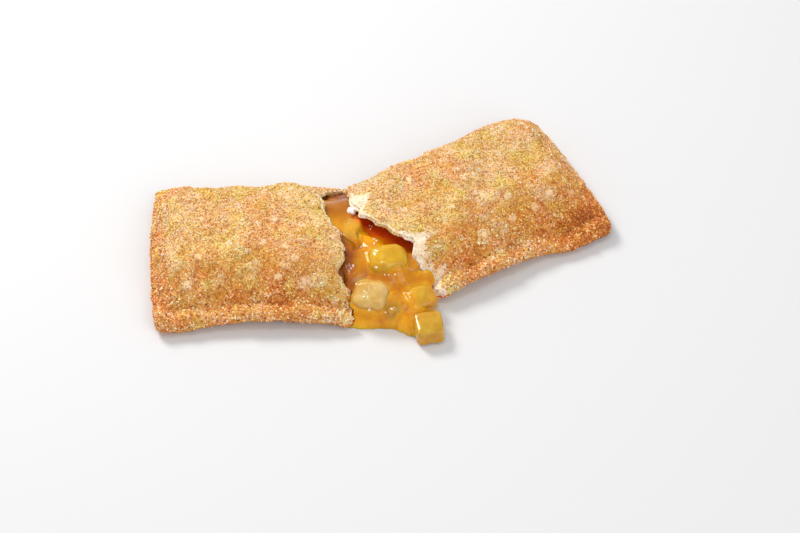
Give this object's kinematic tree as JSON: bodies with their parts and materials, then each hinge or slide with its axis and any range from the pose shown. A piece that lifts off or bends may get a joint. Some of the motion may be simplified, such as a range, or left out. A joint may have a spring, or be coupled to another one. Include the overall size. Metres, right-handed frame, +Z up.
{
  "type": "fried apple pie",
  "caption": "Rectangular fried turnover coated in cinnamon sugar, broken open across the middle so that its apple filling runs out.",
  "frame": {"origin": "middle of the footprint's bounding box, on the surface the pie lies on", "axes": "+Z up; +Y towards the pie's unbroken back edge, so the gap opens towards -Y; +X along the left half towards the right half"},
  "size_m": [0.158, 0.0996, 0.0191],
  "materials": {
    "fried_dough": "fried dough under a coat of cinnamon sugar, granular and matt",
    "apple_gel": "glossy translucent amber apple gel",
    "cooked_apple": "glossy translucent cooked apple"
  },
  "bodies": {
    "root": {"crust": "fried_dough", "filling": "apple_gel", "apple_chunk_1": "cooked_apple", "apple_chunk_2": "cooked_apple", "apple_chunk_3": "cooked_apple", "apple_chunk_4": "cooked_apple", "apple_chunk_5": "cooked_apple", "apple_chunk_6": "cooked_apple", "apple_chunk_7": "cooked_apple", "apple_chunk_8": "cooked_apple"}
  },
  "joints": []
}
